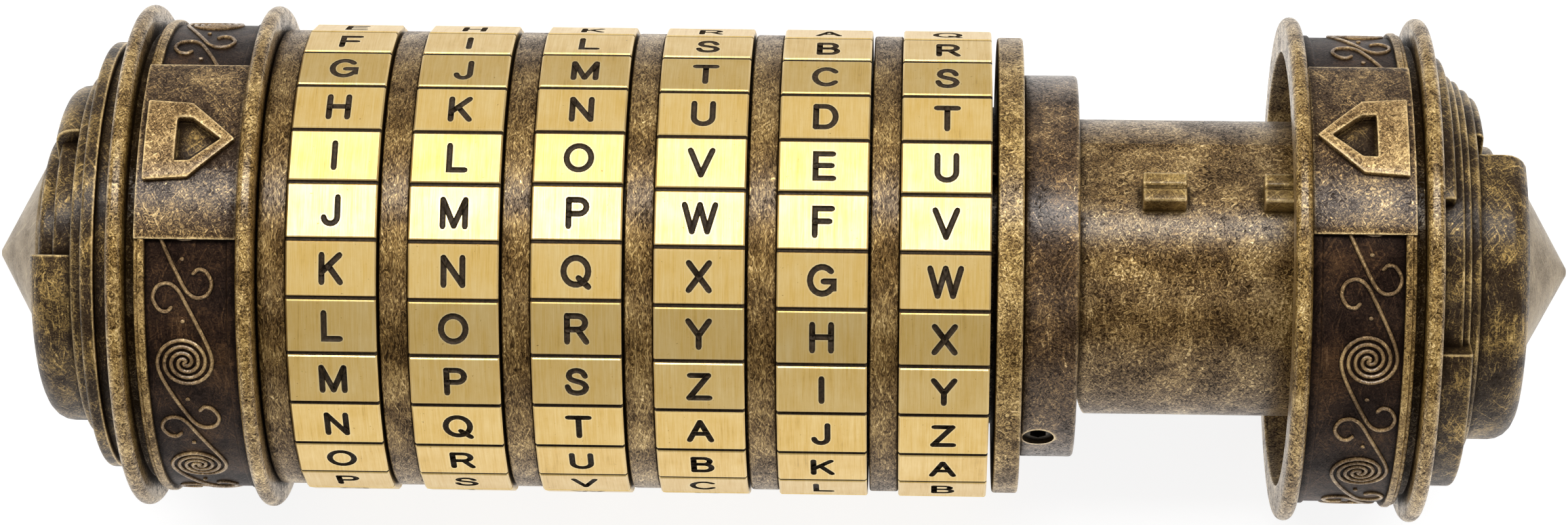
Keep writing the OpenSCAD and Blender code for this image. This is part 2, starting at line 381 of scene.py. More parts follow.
def aged_bronze(name, dark, mid, bright, wear=0.5, edge=0.35, spots=4.0, grain=0.5,
                brushed=(1, 1, 1), grime_and_shade=0.8, rough=(0.58, 0.32), coat=0.5,
                rubbed=(0.80, 0.60, 0.30)):
    """Patinated bronze: brown in the grooves, mottled on the faces, rubbed to gold on the edges.

    Its colours run from dark over mid and bright to rubbed as the tone rises. wear, grain and
    grime_and_shade are what edges, speckle and the darkening in grooves and next to other parts
    add to the tone or take from it; that darkening is grime and painted shade. edge is the width
    of the rubbed edges and spots the size of the mottling, in millimetres; brushed draws the
    speckle out. rough is the roughness of dark and bright places, and coat the lacquer on the
    bright ones."""
    n = Nodes(name)
    mottle = n.span(n.noise(spots, 3, 0.55), 0.32, 0.68)
    speckle = n.span(n.noise(0.5, 5, 0.75, brushed, swirl=2.5), 0.35, 0.65)
    scratch = n.math("MAXIMUM", n.scratches(0.12, 35), n.scratches(0.12, -50))
    tone = n.total((mottle, 0.36), (speckle, grain), (scratch, 0.2), (n.edges(edge), wear),
                   (n.hollow_grime_and_shade(1.2), -grime_and_shade))
    tone = n.math("ADD", tone, 0.30 - grain / 2)
    n.feed(n.shader.inputs["Base Color"],
           n.colours(tone, (0.15, dark), (0.5, mid), (0.85, bright), (1.0, rubbed)))
    n.feed(n.shader.inputs["Roughness"], n.span(tone, 0.2, 0.9, rough[0], rough[1]))
    n.relief(n.total((speckle, 0.8), (mottle, 0.3)), 0.045)
    return n.finish(0.95, n.span(tone, 0.1, 0.5, 0, coat), 0.28)


def brushed_brass(name):
    """Lacquered brass with fine brushing round the dial and slight stains. It is lighter along the
    edges of facets and letters, a painted highlight on their bevels, and darker beside grooves and
    letters, grime and painted shade.
    """
    n = Nodes(name)
    streaks = n.span(n.noise(0.10, 3, 0.6, (1, 0.03, 0.03)), 0.3, 0.7)
    lines = n.span(n.noise(0.4, 4, 0.7, (1, 0.06, 0.06)), 0.3, 0.7)
    stain = n.span(n.noise(3.5, 4, 0.6), 0.3, 0.7)
    pits = n.span(n.noise(0.35, 3, 0.7), 0.68, 0.74)
    tone = n.total((streaks, 0.16), (lines, 0.16), (stain, 0.16), (n.edges(0.2), 0.35),
                   (n.hollow_grime_and_shade(0.6), -0.5), (pits, -0.35))
    tone = n.math("ADD", tone, 0.2)
    n.feed(n.shader.inputs["Base Color"],
           n.colours(tone, (0.05, (0.14, 0.08, 0.02)), (0.35, (0.62, 0.41, 0.115)),
                     (0.75, (0.78, 0.61, 0.30))))
    n.feed(n.shader.inputs["Roughness"], n.span(tone, 0.1, 0.8, 0.46, 0.38))
    n.relief(n.total((streaks, 0.6), (lines, 0.6)), 0.01)
    return n.finish(1.0, 0.4, 0.3)


def groove_fill(name):
    """Dark paint and grime left in the engraving."""
    n = Nodes(name)
    spots = n.noise(0.25, 4, 0.6)
    n.feed(n.shader.inputs["Base Color"],
           n.colours(spots, (0.3, (0.012, 0.008, 0.005)), (0.75, (0.05, 0.032, 0.015))))
    n.feed(n.shader.inputs["Roughness"], n.span(spots, 0.3, 0.7, 0.75, 0.5))
    n.relief(spots, 0.01)
    n.shader.inputs["Specular IOR Level"].default_value = 0.15
    return n.finish(0.0)


def black_steel(name):
    """Blackened screw steel."""
    n = Nodes(name)
    spots = n.noise(0.3, 4, 0.6)
    n.feed(n.shader.inputs["Base Color"],
           n.colours(spots, (0.3, (0.02, 0.018, 0.016)), (0.7, (0.08, 0.065, 0.045))))
    n.feed(n.shader.inputs["Roughness"], n.span(spots, 0.3, 0.7, 0.5, 0.35))
    n.relief(spots, 0.01)
    return n.finish(1.0)


# Metals, each named after what it is used on
BROWN = (0.016, 0.009, 0.004)
GOLD = (0.56, 0.38, 0.12)
rim_metal = aged_bronze("rim_bronze", (0.020, 0.010, 0.002), (0.20, 0.108, 0.020), GOLD, 0.4,
                        spots=2.5, grain=1.0, coat=0.8)
cast_metal = aged_bronze("cast_bronze", BROWN, (0.040, 0.022, 0.009), (0.46, 0.30, 0.09), 0.8,
                         0.28, grime_and_shade=0.9, coat=0.3)
flange_metal = aged_bronze("flange_bronze", (0.018, 0.009, 0.002), (0.150, 0.080, 0.017),
                           (0.50, 0.34, 0.12), 0.6, 0.25, grain=0.8, brushed=(1.5, 0.5, 0.5))
tube_metal = aged_bronze("tube_bronze", (0.018, 0.009, 0.002), (0.130, 0.066, 0.012),
                         (0.46, 0.30, 0.10), 0.5, 0.25, grain=0.95, grime_and_shade=1.3, coat=0.65)
disc_metal = aged_bronze("disc_bronze", (0.03, 0.016, 0.004), (0.190, 0.108, 0.030), GOLD, 0.8,
                         0.3, grain=1.0)
collar_metal = aged_bronze("collar_bronze", (0.016, 0.008, 0.002), (0.055, 0.025, 0.006),
                           (0.30, 0.17, 0.05), 1.0, 0.3, grain=0.8, coat=0.8)
ground_metal = aged_bronze("scroll_ground", (0.005, 0.002, 0.001), (0.022, 0.010, 0.005),
                           (0.10, 0.05, 0.02), 0.2, rough=(0.6, 0.5), coat=0.15,
                           rubbed=(0.14, 0.08, 0.04))
scroll_metal = aged_bronze("scroll_relief", (0.06, 0.035, 0.016), (0.26, 0.160, 0.068),
                           (0.60, 0.42, 0.19), 0.0, grime_and_shade=0.1, coat=0.8)
border_metal = aged_bronze("border_bronze", (0.03, 0.016, 0.005), (0.24, 0.140, 0.038),
                           (0.66, 0.46, 0.17), 0.5, 0.15, grain=0.8)
plate_metal = aged_bronze("plate_bronze", (0.022, 0.012, 0.006), (0.066, 0.035, 0.014),
                          (0.44, 0.28, 0.10), 0.8, 0.3, grain=0.8)
arrow_metal = aged_bronze("arrow_bronze", (0.05, 0.028, 0.012), (0.29, 0.172, 0.060),
                          (0.85, 0.60, 0.26), 0.8, 0.28, grain=0.8, grime_and_shade=0.4)
cone_metal = aged_bronze("cone_bronze", (0.10, 0.07, 0.036), (0.245, 0.177, 0.094),
                         (0.42, 0.32, 0.18), 0.1, grain=0.3, rough=(0.5, 0.42),
                         rubbed=(0.5, 0.38, 0.22))
# The lugs are darkened strongly where they meet the tube: grime and painted shade.
lug_metal = aged_bronze("lug_bronze", (0.02, 0.011, 0.003), (0.190, 0.112, 0.028), GOLD, 1.2,
                        0.28, grime_and_shade=1.6)
letter_metal = brushed_brass("letter_brass")
ink = groove_fill("engraving_fill")
screw_metal = black_steel("screw_steel")

# ---------------------------------------------------------------- end caps

BAND_R = 22.1                              # floor of the scroll band
BAND_SEAT_R = 21.3                         # where the band sits on the cap
CAP_BORE_R = 20.7                          # inside of a cap's wall
BAND_FROM = MOUTH + 2 * RIM_EDGE
BORDER_TO = OUTER_RIM - RIM_EDGE - 0.85    # a deep groove parts the border from the outer rim
BORDER_FROM = BORDER_TO - 1.05


def cap_outline(socket_r):
    """Half section of a cap: a cup with two rounded rims and a socket in its floor."""
    floor_x, socket_x, hole_r, edge = OUTER_RIM - 3.25, OUTER_RIM - 1.25, 2.1, RIM_EDGE
    return rounded([
        (MOUTH, CAP_BORE_R, 0.15), (MOUTH, RIM_R, edge), (BAND_FROM, RIM_R, edge),
        (BAND_FROM, BAND_SEAT_R, 0.1), (OUTER_RIM - edge, BAND_SEAT_R, 0.1),
        (OUTER_RIM - edge, RIM_R, edge), (BACK, RIM_R, edge), (BACK, 20.9, 0.3),
        (BACK, hole_r, 0), (socket_x, hole_r, 0), (socket_x, socket_r, 0),
        (floor_x, socket_r, 0), (floor_x, CAP_BORE_R, 0.6)], 0.1, 6)


def make_cap(node, side, body, socket_r):
    cup = mirrored(lathe(cap_outline(socket_r), step=2), side)
    stand_for(make_mesh(f"{node}_look", [(cup, rim_metal)]), body, "aged_bronze", node)


# ---------------------------------------------------------------- scroll bands

SCROLL_HALF = 0.18                         # half width of a scroll line
SCROLL_HIGH = 0.24
PERIOD = 36                                # degrees from one spiral to the next
DOT_PLACES = (-4.05, 4.05)                 # from a spiral's centre
DOT_R = 0.19


def arc(cx, cy, rx, ry, start, end, steps=12):
    """Points along an ellipse between two angles."""
    turns = np.radians(np.linspace(start, end, steps + 1))
    return [(cx + rx * math.cos(t), cy + ry * math.sin(t)) for t in turns]


def smooth_path(points, steps=5):
    """Curve through the points (Catmull-Rom)."""
    points = [np.array(p, float) for p in points]
    ends = [2 * points[0] - points[1]] + points + [2 * points[-1] - points[-2]]
    path = []
    for a, b, c, d in zip(ends, ends[1:], ends[2:], ends[3:]):
        for k in range(steps):
            t = k / steps
            path.append(0.5 * (2 * b + (c - a) * t + (2 * a - 5 * b + 4 * c - d) * t ** 2
                               + (3 * b - a - 3 * c + d) * t ** 3))
    path.append(points[-1])
    return path


def spiral_arm(turns=1.9, outer=2.55, inner=0.1, steps=46):
    """One arm of the double spiral, from its outer end inwards, round (0, 0)."""
    path = []
    for k in range(steps + 1):
        t = k / steps
        angle = 2 * math.pi * turns * t
        r = outer + (inner - outer) * t
        path.append((r * math.cos(angle), r * math.sin(angle)))
    return path


def scroll_lines():
    """Lines of one period in (x, s), with the double spiral round (0, 0). One line comes from a
    hook above and winds in, and the other is the same line turned by half a turn."""
    hook = [(-1.05, -5.35), (-1.5, -4.98), (-2.2, -5.2), (-2.72, -6.25), (-2.3, -7.3), (-1.3, -7.6),
            (-0.4, -7.0)]
    stem = [(0.45, -5.45), (1.4, -3.5), (2.15, -1.8), (2.5, -0.7)]
    upper = smooth_path(hook + stem) + spiral_arm()
    return [upper, [(-x, -s) for x, s in upper]]


def dot(s):
    """Small round dot over or under a spiral."""
    return sweep_stroke([(-0.02, s), (0.02, s)], DOT_R, -0.1, SCROLL_HIGH * 0.9)


BAND_MIDDLE = 54.3                         # distance of the spirals from the middle
MOULD_LINE_TURN = 54.5                     # degrees from the reading line
SCROLL_SHIFT = 0.2                         # both bands have them a little to the right


def scroll_relief(side, twist):
    """All the scroll lines of a band. The arrow's plate lies over some of them."""
    parts = []
    for k in range(360 // PERIOD):
        centre = PERIOD * (k + 0.5)
        for path in scroll_lines():
            bar = sweep_stroke(path, SCROLL_HALF, -0.12, SCROLL_HIGH)
            parts.append(placed(bar, side, centre + twist))
        for s in DOT_PLACES:
            parts.append(placed(dot(s), side, centre + twist))
    return joined(parts)


def placed(part, side, turn):
    """Flat geometry of the band at a turn. The pattern keeps its hand at both ends."""
    vertices, faces = part
    moved = [(x + side * BAND_MIDDLE + SCROLL_SHIFT, s, h) for x, s, h in vertices]
    return wrapped((moved, faces), BAND_R, turn)


def ground_outline():
    """Half section of the scroll band's floor, with a low lip beside the inner rim."""
    return rounded([(BAND_FROM, BAND_SEAT_R, 0), (BAND_FROM, 22.3, 0.1),
                    (BAND_FROM + 0.85, 22.3, 0.12), (BAND_FROM + 1.0, BAND_R, 0.1),
                    (BORDER_TO, BAND_R, 0), (BORDER_TO, BAND_SEAT_R, 0)], 0.1, 4)


def border_outline():
    """Half section of the border: a ridge and a lower shoulder beside it."""
    return rounded([(BORDER_FROM, BAND_SEAT_R, 0), (BORDER_FROM, 22.6, 0.2),
                    (BORDER_FROM + 0.62, 22.6, 0.12), (BORDER_FROM + 0.7, 22.42, 0.08),
                    (BORDER_TO, 22.42, 0.2), (BORDER_TO, BAND_SEAT_R, 0)], 0.1, 4)


def mould_line(side, turn):
    """Fine line left by the mould across the band."""
    flat = sweep_stroke([(BAND_FROM, 0), (BORDER_TO - 0.2, 0)], 0.05, -0.1, 0.05)
    return wrapped(mirrored(flat, side), BAND_R, turn)


def bent_prism(loops, low, high, bevel, side, twist):
    """Plate bounded by an outer loop and perhaps an inner one, in (x, s), bent round the axis."""
    work = bmesh.new()
    rings = [[work.verts.new((x, s, low)) for x, s in loop] for loop in loops]
    if len(rings) == 1:
        work.faces.new(rings[0])
    else:
        outer, inner = rings
        for i, corner in enumerate(outer):
            j = (i + 1) % len(outer)
            work.faces.new((corner, outer[j], inner[j], inner[i]))
    raised = bmesh.ops.extrude_face_region(work, geom=list(work.faces))
    top = [v for v in raised["geom"] if isinstance(v, bmesh.types.BMVert)]
    bmesh.ops.translate(work, verts=top, vec=(0, 0, high - low))
    bmesh.ops.recalc_face_normals(work, faces=work.faces)
    sharp = [e for e in work.edges if len(e.link_faces) == 2 and e.calc_face_angle() > 0.35]
    bmesh.ops.bevel(work, geom=sharp, offset=bevel, segments=2, affect="EDGES", profile=0.6)
    reach = max(abs(s) for loop in loops for _, s in loop)
    for place in np.arange(-reach, reach, 0.8):
        bmesh.ops.bisect_plane(work, geom=work.verts[:] + work.edges[:] + work.faces[:],
                               plane_co=(0, place, 0), plane_no=(0, 1, 0))
    work.verts.ensure_lookup_table()
    work.verts.index_update()
    vertices = [tuple(v.co) for v in work.verts]
    faces = [tuple(v.index for v in f.verts) for f in work.faces]
    work.free()
    return wrapped(mirrored((vertices, faces), side), BAND_R, twist)


PLATE_HALF_ANGLE = 23.9
ARROW_TIP = BAND_FROM + 0.5
WINDOW = [(ARROW_TIP + 1.35, 0), (ARROW_TIP + 4.1, 2.1), (ARROW_TIP + 5.45, 2.15),
          (ARROW_TIP + 5.45, -2.15), (ARROW_TIP + 4.1, -2.1)]


def plate_loops():
    """The arrow's plate, open where the arrow has its window."""
    left, right = BAND_FROM + 0.05, BORDER_TO - 0.02
    half = math.radians(PLATE_HALF_ANGLE) * BAND_R
    return [[(left, 0), (left, half), (right, half), (right, -half), (left, -half)], WINDOW]


def arrow_loops():
    """The arrow and its window, with the tip towards the dials."""
    tip = ARROW_TIP
    outer = [(tip, 0), (tip + 4.2, 3.7), (tip + 8.35, 4.0), (tip + 8.35, -4.0), (tip + 4.2, -3.7)]
    return [outer, WINDOW]


def make_band(node, side, body, twist):
    """Scroll band with its border, and the arrow on its plate. The window shows a darker floor."""
    floor = mirrored(lathe(ground_outline(), step=2), side)
    ground = joined([floor, mould_line(side, MOULD_LINE_TURN)])
    window_floor = bent_prism([WINDOW], -0.7, 0.28, 0.02, side, twist)
    border = mirrored(lathe(border_outline(), step=2), side)
    plate = bent_prism(plate_loops(), -0.2, 0.64, 0.15, side, twist)
    arrow = bent_prism(arrow_loops(), 0.3, 1.25, 0.2, side, twist)
    pieces = {"ground": [(ground, ground_metal), (scroll_relief(side, twist), scroll_metal)],
              "border": [(border, border_metal)],
              "plate": [(plate, plate_metal)],
              "window": [(window_floor, cast_metal)],
              "arrow": [(arrow, arrow_metal)]}
    for part, groups in pieces.items():
        stand_for(make_mesh(f"{node}_{part}", groups), body, "dark_bronze", node)


# ---------------------------------------------------------------- end rosettes

# Steps: outer radius, heights over the outer rim from and to, edge rounding, start angle, sweep
FIXED_STEPS = [
    (19.7, -0.85, 2.5, 0.2, 0, 360),
    (20.4, 2.4, 3.7, 0.4, 0, 360),
    (17.3, 2.4, 5.15, 0.35, 0, 360),
    (14.6, 2.4, 7.25, 0.35, 0, 360),
    (11.4, 2.4, 9.25, 0.7, 0, 360),
    (16.2, 2.4, 7.8, 1.7, 222, 120),
    (16.0, 2.4, 9.4, 2.1, 28, 150),
]
SLIDING_STEPS = [
    (19.6, -0.85, 1.2, 0.2, 0, 360),
    (18.6, 0.5, 3.1, 0.2, 0, 360),
    (18.1, 0.5, 3.8, 0.2, 0, 360),
    (20.5, 0.5, 3.9, 0.35, 54, 110),
    (20.3, 0.5, 2.2, 0.3, 255, 118),
    (17.3, 2.4, 4.8, 0.35, 0, 360),
    (16.6, 2.4, 5.6, 0.5, 220, 122),
    (11.9, 2.4, 7.4, 0.6, 0, 360),
    (10.6, 2.4, 9.35, 0.4, 0, 360),
    (16.0, 2.4, 9.6, 2.2, 349, 150),
]
CONE_R = 9
CONE_SLOPE = 1.85                          # fall of a finial's radius per millimetre of length


def step_part(step):
    """One ring or sector of a rosette."""
    outer, low, high, edge, start, sweep = step
    inner = CONE_R + 0.03
    base, top = OUTER_RIM + low, OUTER_RIM + high
    outline = rounded([(base, inner, 0), (base, outer, 0.1), (top, outer, edge),
                       (top, inner, 0.1)], 0.1, 5)
    return lathe(outline, start, sweep, 2.5)


def make_rosette(node, side, body, steps, twist):
    """Each step is a piece of its own, so that only its real edges are rubbed bright."""
    for number, step in enumerate(steps, 1):
        turned = (*step[:4], step[4] + twist, step[5])
        piece = make_mesh(f"{node}_step_{number}", [(mirrored(step_part(turned), side), cast_metal)])
        soften(piece, 0.2)
        stand_for(piece, body, "aged_bronze", node)


def make_finial(node, side, body):
    """Cone on a thin straight foot."""
    cone_foot = TIP - CONE_R / CONE_SLOPE
    foot = cone_foot - 0.6
    outline = rounded([(foot, 0, 0), (foot, CONE_R, 0.1), (cone_foot, CONE_R, 0.3),
                       (TIP, 0.35, 0.3), (TIP, 0, 0)], 0.1, 4)
    cone = mirrored(lathe(outline, step=3), side)
    stand_for(make_mesh(f"{node}_look", [(cone, cone_metal)]), body, "gold_bronze", node)


# ---------------------------------------------------------------- dials

HUB_R = 19.5                               # seat of a letter ring on its code ring
FACE_R = (node_box("letter_ring_1")[1][1] - node_box("letter_ring_1")[0][1]) / 2 * math.cos(
    math.radians(LETTER_PITCH / 2))
LETTER_HIGH = 2.45
LETTER_WIDE = 2.7
STROKE = 0.305                             # half width of a letter's strokes
STROKE_DEPTH = 0.26


def line(*numbers):
    """Straight stroke through (x, y) pairs."""
    return list(zip(numbers[::2], numbers[1::2]))


def legs(*numbers):
    """A zigzag as one stroke for each leg, because a bent stroke is pinched at a sharp corner."""
    points = line(*numbers)
    return [list(pair) for pair in zip(points, points[1:])]


def bowl(y, high, x, wide):
    """Half loop on the right of a letter's stem, as on B, P and R."""
    turn = arc(x, y + high / 2, wide, high / 2, 90, -90, 8)
    return line(-0.28, y + high, x, y + high) + turn[1:] + line(-0.28, y)


def glyphs():
    """Strokes of the capital letters in a cell one unit high, centred on x = 0."""
    ess = [(0.28, 0.76), (0.19, 0.93), (0, 1), (-0.2, 0.93), (-0.27, 0.75), (-0.19, 0.6), (0, 0.52),
           (0.21, 0.43), (0.31, 0.26), (0.22, 0.07), (0, 0), (-0.23, 0.07), (-0.32, 0.27)]
    return {
        "A": legs(-0.37, 0, 0, 1, 0.37, 0) + [line(-0.23, 0.35, 0.23, 0.35)],
        "B": [line(-0.28, 0, -0.28, 1), bowl(0.53, 0.47, 0.06, 0.22), bowl(0, 0.53, 0.08, 0.25)],
        "C": [arc(0, 0.5, 0.4, 0.5, 42, 318, 16)],
        "D": [line(-0.31, 0, -0.31, 1), line(-0.31, 1, 0, 1) + arc(0, 0.5, 0.36, 0.5, 90, -90)[1:]
              + line(-0.31, 0)],
        "E": [line(0.3, 1, -0.28, 1, -0.28, 0, 0.32, 0), line(-0.28, 0.52, 0.26, 0.52)],
        "F": [line(0.3, 1, -0.27, 1, -0.27, 0), line(-0.27, 0.52, 0.22, 0.52)],
        "G": [arc(0, 0.5, 0.41, 0.5, 44, 322, 16) + line(0.39, 0.2, 0.39, 0.46, 0.06, 0.46)],
        "H": [line(-0.32, 0, -0.32, 1), line(0.32, 0, 0.32, 1), line(-0.32, 0.52, 0.32, 0.52)],
        "I": [line(0, 0, 0, 1)],
        "J": [line(0.2, 1) + arc(-0.03, 0.25, 0.23, 0.25, 0, -175, 8)],
        "K": [line(-0.3, 0, -0.3, 1), line(0.3, 1, -0.3, 0.36), line(-0.07, 0.6, 0.33, 0)],
        "L": [line(-0.24, 1, -0.24, 0, 0.29, 0)],
        "M": legs(-0.38, 0, -0.38, 1, 0, 0.02, 0.38, 1, 0.38, 0),
        "N": legs(-0.32, 0, -0.32, 1, 0.32, 0, 0.32, 1),
        "O": [arc(0, 0.5, 0.42, 0.5, 0, 360, 22)],
        "P": [line(-0.28, 0, -0.28, 1), bowl(0.47, 0.53, 0.07, 0.25)],
        "Q": [arc(0, 0.5, 0.42, 0.5, 0, 360, 22), line(0.1, 0.24, 0.42, -0.07)],
        "R": [line(-0.3, 0, -0.3, 1), bowl(0.47, 0.53, 0.07, 0.25), line(0.06, 0.47, 0.35, 0)],
        "S": [smooth_path(ess, 2)],
        "T": [line(-0.35, 1, 0.35, 1), line(0, 1, 0, 0)],
        "U": [line(-0.32, 1) + arc(0, 0.32, 0.32, 0.32, 180, 360, 10) + line(0.32, 1)],
        "V": legs(-0.37, 1, 0, 0, 0.37, 1),
        "W": legs(-0.52, 1, -0.26, 0, 0, 1, 0.26, 0, 0.52, 1),
        "X": [line(-0.34, 1, 0.34, 0), line(0.34, 1, -0.34, 0)],
        "Y": [line(-0.35, 1, 0, 0.44, 0.35, 1), line(0, 0.44, 0, 0)],
        "Z": legs(-0.3, 1, 0.31, 1, -0.34, 0, 0.34, 0),
    }


def on_facet(part, x_middle, turn):
    """Flat (x, s, height) geometry laid on a letter's flat face."""
    vertices, faces = part
    angle = math.radians(turn)
    out = []
    for x, s, h in vertices:
        r = FACE_R + h
        out.append((x_middle + x, -r * math.sin(angle) - s * math.cos(angle),
                    AXIS_Z + r * math.cos(angle) - s * math.sin(angle)))
    return out, faces


def letter_cutters(x_middle):
    """Strokes of all letters, A on the reading line and the rest below it in order."""
    parts = []
    for index, strokes in enumerate(glyphs().values()):
        for stroke in strokes:
            closed = len(stroke) > 2 and math.dist(stroke[0], stroke[-1]) < 0.01
            path = [(x * LETTER_WIDE, (0.5 - y) * LETTER_HIGH) for x, y in stroke]
            flat = sweep_stroke(path[:-1] if closed else path, STROKE, -STROKE_DEPTH, STROKE_DEPTH,
                                closed)
            parts.append(on_facet(flat, x_middle, index * LETTER_PITCH))
    return joined(parts)


def ring_outline(inset):
    """Outer outline of a letter ring as (r, turn): flat facets parted by grooves."""
    groove_half, groove_deep, chamfer = 0.2, 0.34, 0.1
    face = FACE_R - inset
    half = face * math.tan(math.radians(LETTER_PITCH / 2))
    points = []
    for i in range(LETTER_COUNT):
        turn = i * LETTER_PITCH
        profile = [(-half + groove_half * 0.55, -groove_deep), (-half + groove_half, -chamfer),
                   (-half + groove_half + chamfer, 0)]
        profile += [(-s, h) for s, h in reversed(profile)]
        for s, h in profile:
            r = math.hypot(face + h, s)
            points.append((r, turn + math.degrees(math.atan2(s, face + h))))
    return points


def ring_body(left, right):
    """Letter ring without its letters: its bright faces and the faces of its grooves."""
    bevel = 0.14
    stations = [(left, bevel), (left + bevel, 0), (right - bevel, 0), (right, bevel)]
    loops = [[around(x, r, turn) for r, turn in ring_outline(inset)] for x, inset in stations]
    inner = [[around(x, HUB_R, turn) for _, turn in ring_outline(0)] for x in (left, right)]
    loops = [inner[0]] + loops + [inner[1]]
    count = len(loops[0])
    vertices = [v for loop in loops for v in loop]
    bright, grooves = [], []
    for i in range(len(loops)):
        j = (i + 1) % len(loops)
        for k in range(count):
            m = (k + 1) % count
            in_groove = 1 <= i <= 3 and k % 6 in (0, 4, 5)
            group = grooves if in_groove else bright
            group.append((i * count + k, i * count + m, j * count + m, j * count + k))
    return (vertices, bright), (vertices, grooves)


def resting_turn(node):
    """Turn of the nearest facet to the reading line, from the corners of the CAD ring."""
    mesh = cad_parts[node].data
    co = np.empty(len(mesh.vertices) * 3)
    mesh.vertices.foreach_get("co", co)
    co = co.reshape(-1, 3) / MM
    y, z = co[:, 1], co[:, 2] - AXIS_Z
    r = np.hypot(y, z)
    outer = r > r.max() - 0.02
    turns = np.arctan2(-y[outer], z[outer])
    corner = math.degrees(np.angle(np.exp(1j * LETTER_COUNT * turns).sum()) / LETTER_COUNT)
    return corner - math.copysign(LETTER_PITCH / 2, corner)


READING = "ILOVEU"                         # the letters on the reading line, dial by dial


def make_dials():
    """One ring is engraved, and each dial gets a turned copy of it."""
    low, high = node_box(DIALS[0])
    left, right = low[0], high[0] - 0.08
    bright, grooves = ring_body(left, right)
    ring = make_mesh("letter_ring_master", [(bright, letter_metal), (grooves, ink)], 20)
    cutter = make_mesh("letter_strokes", [(letter_cutters((left + right) / 2), ink)])
    carve(ring, cutter, 20)
    axis_line = Vector((0, 0, AXIS_Z * MM))
    for index, node in enumerate(DIALS):
        mesh = ring.data.copy()
        letters_on = ord(READING[index]) - ord("A")
        turn = math.radians(resting_turn(node) - letters_on * LETTER_PITCH)
        shift = node_box(node)[0][0] - low[0]
        mesh.transform(Matrix.Translation(axis_line + Vector((shift * MM, 0, 0)))
                       @ Matrix.Rotation(turn, 4, "X") @ Matrix.Translation(-axis_line))
        piece = bpy.data.objects.new(f"letter_ring_{index + 1}_look", mesh)
        bpy.context.collection.objects.link(piece)
        stand_for(piece, f"dial_{index + 1}", "brushed_brass", node)
        make_flange(index)
    bpy.data.objects.remove(ring)


def make_flange(index):
    """Flange and hub of a dial."""
    name = f"code_ring_{index + 1}"
    low, high = node_box(name)
    flange_to = node_box(f"letter_ring_{index + 1}")[0][0] - 0.02
    bore = 17.0
    outline = rounded([(low[0] + 0.03, bore, 0), (low[0] + 0.03, FLANGE_R, 0.22),
                       (flange_to, FLANGE_R, 0.22), (flange_to, HUB_R - 0.02, 0),
                       (high[0], HUB_R - 0.02, 0), (high[0], bore, 0)], 0.1, 3)
    piece = make_mesh(f"{name}_look", [(lathe(outline, step=2.5), flange_metal)])
    stand_for(piece, f"dial_{index + 1}", "aged_bronze", name)


# ---------------------------------------------------------------- disc, collar, screws

KEY_R = LUG_TOP_R + 0.5                    # depth of a keyway
SLOT_HALF = 1.7                            # half of its width


def keyed_ring(node, outer, left, right, edge, metal):
    """Ring round the sleeve, with a keyway for the lugs."""
    bore = SLEEVE_R + 0.02
    outline = rounded([(left, bore, 0), (left, outer, edge), (right, outer, edge),
                       (right, bore, 0.15)], 0.1, 4)
    piece = make_mesh(f"{node}_look", [(lathe(outline, step=2), metal)])
    keyway = block((left - 1, -SLOT_HALF, bore - 2), (right + 1, SLOT_HALF, KEY_R))
    carve(piece, make_mesh("keyway", [(keyway, metal)]))
    stand_for(piece, "case", "aged_bronze", node)
    return piece


def make_collar():
    """End disc, collar and the material of the grub screws in it."""
    keyed_ring("end_disc", FLANGE_R, DISC_LEFT, COLLAR_LEFT - 0.02, 0.25, disc_metal)
    collar = keyed_ring("locking_collar", COLLAR_R, COLLAR_LEFT, COLLAR_RIGHT, 0.35, collar_metal)
    low, high = node_box("grub_screws")
    screw_x = (low[0] + high[0]) / 2
    hole_r = (high[0] - low[0]) / 2 + 0.02
    for turn in (90, 270):
        hole = drill(screw_x, turn, hole_r, SLEEVE_R - 1, COLLAR_R + 1)
        carve(collar, make_mesh("screw_hole", [(hole, ink)]))
    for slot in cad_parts["grub_screws"].material_slots:
        slot.material = screw_metal


def drill(x, turn, radius, low_r, high_r):
    """Cylinder across the axis, for a screw hole."""
    count = 32
    out = np.array(around(0, 1, turn)) - np.array((0, 0, AXIS_Z))
    across = np.cross(out, (1, 0, 0))
    vertices = []
    for r in (low_r, high_r):
        for k in range(count):
            t = 2 * math.pi * k / count
            place = (np.array((x, 0, AXIS_Z)) + out * r
                     + np.array((1, 0, 0)) * radius * math.cos(t) + across * radius * math.sin(t))
            vertices.append(tuple(place))
    faces = [tuple(range(count)), tuple(reversed(range(count, 2 * count)))]
    for k in range(count):
        m = (k + 1) % count
        faces.append((k, m, count + m, count + k))
    return vertices, faces


# ---------------------------------------------------------------- chamber

LUG_LEN, LUG_HALF = 4.1, 1.5               # length and half width of a lug
FIRST_LUG_X = 45.25                        # left end of the lug nearest the sliding cap
TROUGH_Z = 1.35                            # the tube is open below this height inside the case


def flattened(part, start, sweep):
    """The lathe with a chord instead of its arc between two angles."""
    vertices, faces = part
    half = sweep / 2
    middle = start + half
    out = []
    for x, y, z in vertices:
        r = math.hypot(y, z - AXIS_Z)
        turn = math.degrees(math.atan2(-y, z - AXIS_Z))
        off = (turn - middle + 180) % 360 - 180
        if abs(off) < half and r > TUBE_R - 0.5:
            r *= math.cos(math.radians(half)) / math.cos(math.radians(off))
        out.append(around(x, r, turn))
    return out, faces


